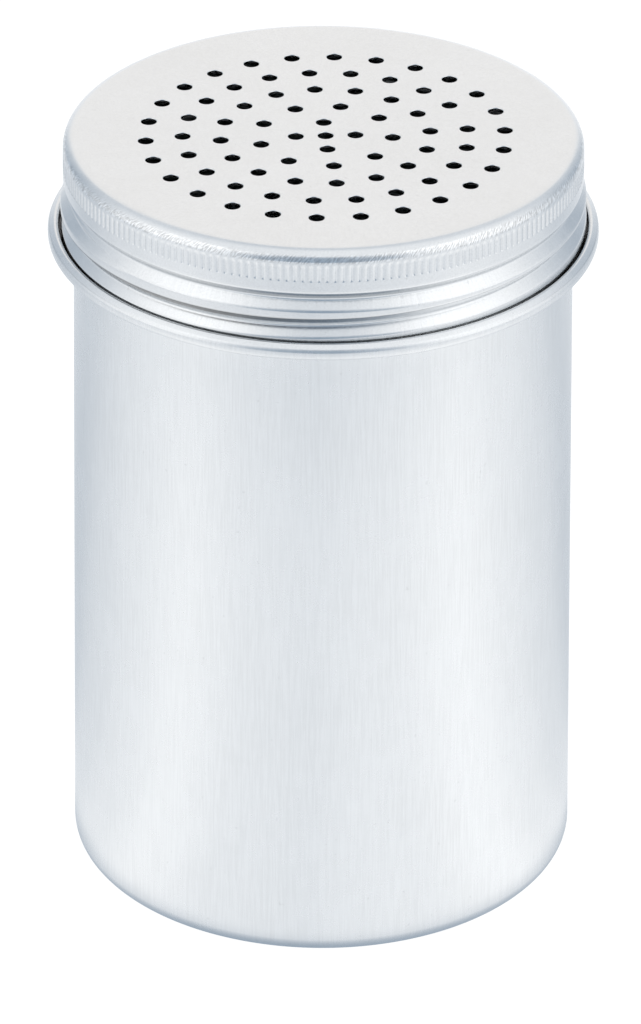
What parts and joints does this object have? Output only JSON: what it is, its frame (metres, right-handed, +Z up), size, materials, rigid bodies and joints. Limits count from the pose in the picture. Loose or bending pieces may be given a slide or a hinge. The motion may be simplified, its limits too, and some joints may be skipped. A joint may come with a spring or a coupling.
{
  "type": "spice shaker tin",
  "caption": "Straight round aluminium shaker tin with a curled rim and a fluted, perforated screw lid that lifts off to fill it.",
  "frame": {"origin": "centre of the base, on the plane the tin stands on", "axes": "+Z up along the tin's axis, front towards -Y, +X to the right seen from the front"},
  "size_m": [0.074, 0.074, 0.0999],
  "materials": {
    "drawn_aluminium": "satin drawn aluminium with faint vertical draw lines and light scuffs near the base",
    "rolled_aluminium": "plain rolled aluminium, slightly duller than the outside",
    "pressed_aluminium": "matt top face, brighter rolled skirt with fine scratches"
  },
  "bodies": {
    "can": {"can_body": "drawn_aluminium", "neck_ring": "rolled_aluminium"},
    "lid": {"shaker_lid": "pressed_aluminium"}
  },
  "joints": [
    {"name": "lid_lift", "type": "slide", "parent": "can", "child": "lid", "axis": [0, 0, 1], "range_m": [0, 0.016]}
  ]
}
